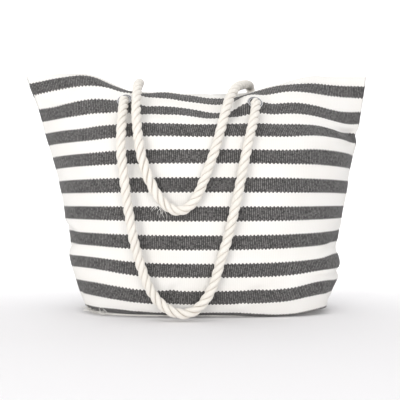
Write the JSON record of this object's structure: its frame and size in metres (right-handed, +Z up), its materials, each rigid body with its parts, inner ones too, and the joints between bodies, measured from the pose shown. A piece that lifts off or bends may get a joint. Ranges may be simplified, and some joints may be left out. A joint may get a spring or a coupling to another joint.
{
  "type": "canvas tote bag",
  "caption": "Striped canvas tote bag with a boxed base, twisted rope handles through metal eyelets, a lining and a zipped inner pocket.",
  "frame": {"origin": "middle of the bag's base, on the surface it stands on", "axes": "+X to the wearer's right along the bag's width, +Z up, front face towards -Y"},
  "size_m": [0.52, 0.239, 0.3541],
  "materials": {
    "canvas": "matt ribbed canvas, off-white with charcoal cross stripes",
    "lining_cloth": "matt plain weave, natural",
    "binding": "matt cotton tape",
    "rope": "matt three-strand cotton rope",
    "thread": "waxed thread",
    "eyelet_metal": "polished nickel",
    "zip_tape": "matt woven tape",
    "zip_metal": "satin nickel"
  },
  "bodies": {
    "bag": {"back_eyelet_left": "eyelet_metal", "back_eyelet_right": "eyelet_metal", "back_eyelet_washer_left": "eyelet_metal", "back_eyelet_washer_right": "eyelet_metal", "back_facing": "canvas", "back_hem": "canvas", "back_knot_left": "rope", "back_knot_right": "rope", "back_lining": "lining_cloth", "back_panel": "canvas", "back_rope_tail_left": "rope", "back_rope_tail_right": "rope", "back_whipping_left": "thread", "back_whipping_right": "thread", "base_lining": "lining_cloth", "base_panel": "canvas", "base_seam": "binding", "front_eyelet_left": "eyelet_metal", "front_eyelet_right": "eyelet_metal", "front_eyelet_washer_left": "eyelet_metal", "front_eyelet_washer_right": "eyelet_metal", "front_facing": "canvas", "front_hem": "canvas", "front_knot_left": "rope", "front_knot_right": "rope", "front_lining": "lining_cloth", "front_panel": "canvas", "front_rope_tail_left": "rope", "front_rope_tail_right": "rope", "front_whipping_left": "thread", "front_whipping_right": "thread", "pocket_bag": "lining_cloth", "side_seam_left": "binding", "side_seam_right": "binding", "zip_stop_left": "zip_metal", "zip_stop_right": "zip_metal", "zip_tape_lower": "zip_tape", "zip_tape_upper": "zip_tape", "zip_teeth": "zip_metal"},
    "front_handle": {"front_handle_rope": "rope"},
    "back_handle_legs": {"back_rope_leg_left": "rope", "back_rope_leg_right": "rope"},
    "back_handle_grip": {"back_handle_rope": "rope"},
    "pocket_zip_slider": {"zip_slider": "zip_metal"},
    "pocket_zip_puller": {"zip_puller": "zip_metal"}
  },
  "joints": [
    {"name": "front_handle_swing", "type": "hinge", "parent": "bag", "child": "front_handle", "pos_m": [-0.10741, -0.06683, 0.31766], "axis": [-0.9979, 0.0565, 0.0303], "range_deg": [0, 160]},
    {"name": "back_handle_lift", "type": "hinge", "parent": "bag", "child": "back_handle_legs", "pos_m": [-0.10841, 0.07279, 0.30829], "axis": [-0.9981, -0.0515, 0.0332], "range_deg": [0, 90]},
    {"name": "back_handle_drop", "type": "hinge", "parent": "back_handle_legs", "child": "back_handle_grip", "pos_m": [-0.086, -0.03, 0.34], "axis": [-0.9998, 0, 0.0197], "range_deg": [0, 95]},
    {"name": "pocket_zip_slide", "type": "slide", "parent": "bag", "child": "pocket_zip_slider", "axis": [1, 0, 0], "range_m": [0, 0.156]},
    {"name": "pocket_puller_swing", "type": "hinge", "parent": "pocket_zip_slider", "child": "pocket_zip_puller", "pos_m": [-0.078, 0.06684, 0.24943], "axis": [-1, 0, 0], "range_deg": [-8, 100]}
  ]
}
